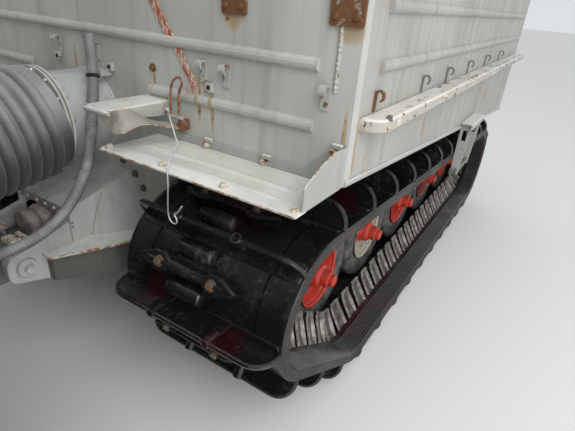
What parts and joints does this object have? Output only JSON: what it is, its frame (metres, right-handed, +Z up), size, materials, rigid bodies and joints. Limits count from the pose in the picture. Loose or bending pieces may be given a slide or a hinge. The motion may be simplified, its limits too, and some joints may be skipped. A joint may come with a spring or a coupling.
{
  "type": "articulated tracked carrier",
  "caption": "Two-car tracked carrier for snow and soft ground: cab car and open load car with tilt hoops, joined by a steered joint with a heating bellows.",
  "frame": {"origin": "on the ground below the middle of the whole vehicle, cars in line", "axes": "+X forward towards the cab, +Y to the left, +Z up"},
  "size_m": [6.1701, 1.88, 2.21],
  "materials": {
    "body_paint": "weathered grey-green gloss paint",
    "fender_paint": "worn pale grey paint with rusty edges",
    "track_black": "black coated rubber and steel, glossy when wet",
    "tyre_rubber": "dull black rubber",
    "red_paint": "bright red gloss paint",
    "dark_steel": "dark painted steel",
    "cylinder_paint": "dark grey paint",
    "bright_rod": "ground and polished",
    "glass": "clear flat glass",
    "lamp_glass": "ribbed lamp glass",
    "seat_vinyl": "black vinyl",
    "black_trim": "matt black",
    "bench_wood": "varnished slats",
    "bellows_rubber": "weathered grey rubber",
    "hose_rubber": "light grey rubber"
  },
  "bodies": {
    "front_car": {"bellows_front": "bellows_rubber", "bulkhead": "body_paint", "cab_controls": "black_trim", "engine_block": "dark_steel", "front_back_wall": "body_paint", "front_duct_stub": "body_paint", "front_fenders": "fender_paint", "front_hubs": "red_paint", "front_hull": "body_paint", "front_rails": "fender_paint", "front_roof": "body_paint", "front_side_left": "body_paint", "front_side_right": "body_paint", "front_sprockets": "dark_steel", "front_track_frames": "dark_steel", "front_tracks": "track_black", "front_tyres": "tyre_rubber", "headlamps": "lamp_glass", "hose_front": "hose_rubber", "nose_panel": "body_paint", "seats": "seat_vinyl", "steering_yoke": "body_paint", "tow_eye": "dark_steel", "windscreens": "glass"},
    "steering_link": {"steering_link": "dark_steel"},
    "roll_collar": {"roll_collar": "dark_steel", "bellows_middle": "bellows_rubber", "hose_middle": "hose_rubber"},
    "cylinder_barrel_left": {"cylinder_barrel_left": "cylinder_paint"},
    "cylinder_barrel_right": {"cylinder_barrel_right": "cylinder_paint"},
    "cylinder_rod_left": {"cylinder_rod_left": "bright_rod"},
    "cylinder_rod_right": {"cylinder_rod_right": "bright_rod"},
    "cab_door_left": {"cab_door_left": "body_paint", "door_glass_left": "glass"},
    "cab_door_right": {"cab_door_right": "body_paint", "door_glass_right": "glass"},
    "engine_hatch_left": {"engine_hatch_left": "body_paint"},
    "engine_hatch_right": {"engine_hatch_right": "body_paint"},
    "rear_door": {"rear_door": "body_paint"},
    "rear_car": {"rear_tracks": "track_black", "rear_tyres": "tyre_rubber", "rear_hubs": "red_paint", "rear_sprockets": "dark_steel", "rear_track_frames": "dark_steel", "rear_hull": "body_paint", "rear_front_wall": "body_paint", "rear_side_left": "body_paint", "rear_side_right": "body_paint", "rear_back_wall": "body_paint", "tilt_hoops": "dark_steel", "benches": "bench_wood", "rear_fenders": "fender_paint", "rear_shelves": "fender_paint", "rear_rails": "fender_paint", "rear_duct_stub": "body_paint", "drawbar": "body_paint", "shaft_boot": "bellows_rubber", "tow_hitch": "dark_steel", "bellows_rear": "bellows_rubber", "hose_rear": "hose_rubber"}
  },
  "joints": [
    {"name": "yaw", "type": "hinge", "parent": "front_car", "child": "steering_link", "pos_m": [0.055, 0, 0.52], "axis": [0, 0, 1], "range_deg": [-28, 28], "deforming": ["bellows_front", "hose_front"]},
    {"name": "roll", "type": "hinge", "parent": "steering_link", "child": "roll_collar", "pos_m": [-0.03, 0, 0.52], "axis": [1, 0, 0], "range_deg": [-10, 10], "deforming": ["bellows_middle", "hose_middle"]},
    {"name": "pitch", "type": "hinge", "parent": "roll_collar", "child": "rear_car", "pos_m": [-0.115, 0, 0.52], "axis": [0, 1, 0], "range_deg": [-10, 10], "deforming": ["bellows_rear", "hose_rear"]},
    {"name": "cylinder_hinge_left", "type": "hinge", "parent": "front_car", "child": "cylinder_barrel_left", "pos_m": [0.44, 0.19, 0.556], "axis": [0, 0, 1], "range_deg": [-1, 1]},
    {"name": "cylinder_slide_left", "type": "slide", "parent": "cylinder_barrel_left", "child": "cylinder_rod_left", "axis": [-0.9997, 0.026, 0], "range_m": [-0.0945, 0.0945]},
    {"name": "cylinder_hinge_right", "type": "hinge", "parent": "front_car", "child": "cylinder_barrel_right", "pos_m": [0.44, -0.19, 0.556], "axis": [0, 0, 1], "range_deg": [-1, 1]},
    {"name": "cylinder_slide_right", "type": "slide", "parent": "cylinder_barrel_right", "child": "cylinder_rod_right", "axis": [-0.9997, -0.026, 0], "range_m": [-0.0945, 0.0945]},
    {"name": "cab_door_left", "type": "hinge", "parent": "front_car", "child": "cab_door_left", "pos_m": [2.56, 0.89, 1.53], "axis": [0, 0, -1], "range_deg": [0, 75]},
    {"name": "cab_door_right", "type": "hinge", "parent": "front_car", "child": "cab_door_right", "pos_m": [2.56, -0.89, 1.53], "axis": [0, 0, 1], "range_deg": [0, 75]},
    {"name": "engine_hatch_left", "type": "hinge", "parent": "front_car", "child": "engine_hatch_left", "pos_m": [0.96, 0.89, 1.78], "axis": [1, 0, 0], "range_deg": [0, 80]},
    {"name": "engine_hatch_right", "type": "hinge", "parent": "front_car", "child": "engine_hatch_right", "pos_m": [0.96, -0.89, 1.78], "axis": [-1, 0, 0], "range_deg": [0, 80]},
    {"name": "rear_door", "type": "hinge", "parent": "rear_car", "child": "rear_door", "pos_m": [-3.055, 0.35, 1.1], "axis": [0, 0, -1], "range_deg": [0, 110]}
  ],
  "couplings": [
    {"joint": "cylinder_hinge_left", "follows": "yaw", "ratio": -0.0184},
    {"joint": "cylinder_slide_left", "follows": "yaw", "m_per_rad": 0.19204},
    {"joint": "cylinder_hinge_right", "follows": "yaw", "ratio": -0.0184},
    {"joint": "cylinder_slide_right", "follows": "yaw", "m_per_rad": -0.19204}
  ]
}
